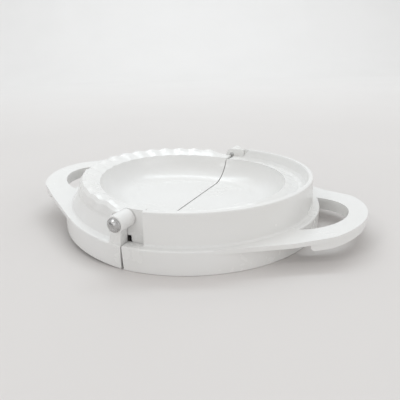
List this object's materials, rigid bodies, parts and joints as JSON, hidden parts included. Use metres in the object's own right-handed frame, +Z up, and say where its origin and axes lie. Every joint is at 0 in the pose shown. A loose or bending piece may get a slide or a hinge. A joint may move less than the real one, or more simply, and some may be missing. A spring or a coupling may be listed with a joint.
{
  "type": "dough pocket press",
  "caption": "Hand press for half-moon dough pockets: two hinged half bowls with crimping rims, a round cutting ring below and a loop handle on each side, lying open.",
  "frame": {"origin": "centre of the cutting ring on the surface that the open press stands on", "axes": "+X along the two loop handles, towards the recessed half; Y along the hinge line; +Z up out of the bowls"},
  "size_m": [0.2016, 0.1636, 0.0324],
  "materials": {
    "white_plastic": "glossy moulded white plastic",
    "pin_steel": "bright drawn steel"
  },
  "bodies": {
    "recessed_side": {"recessed_half": "white_plastic", "front_hinge_pin": "pin_steel", "rear_hinge_pin": "pin_steel"},
    "fluted_side": {"fluted_half": "white_plastic"}
  },
  "joints": [
    {"name": "fold", "type": "hinge", "parent": "recessed_side", "child": "fluted_side", "pos_m": [0, 0, 0.025], "axis": [0, 1, 0], "range_deg": [0, 175.7]}
  ]
}
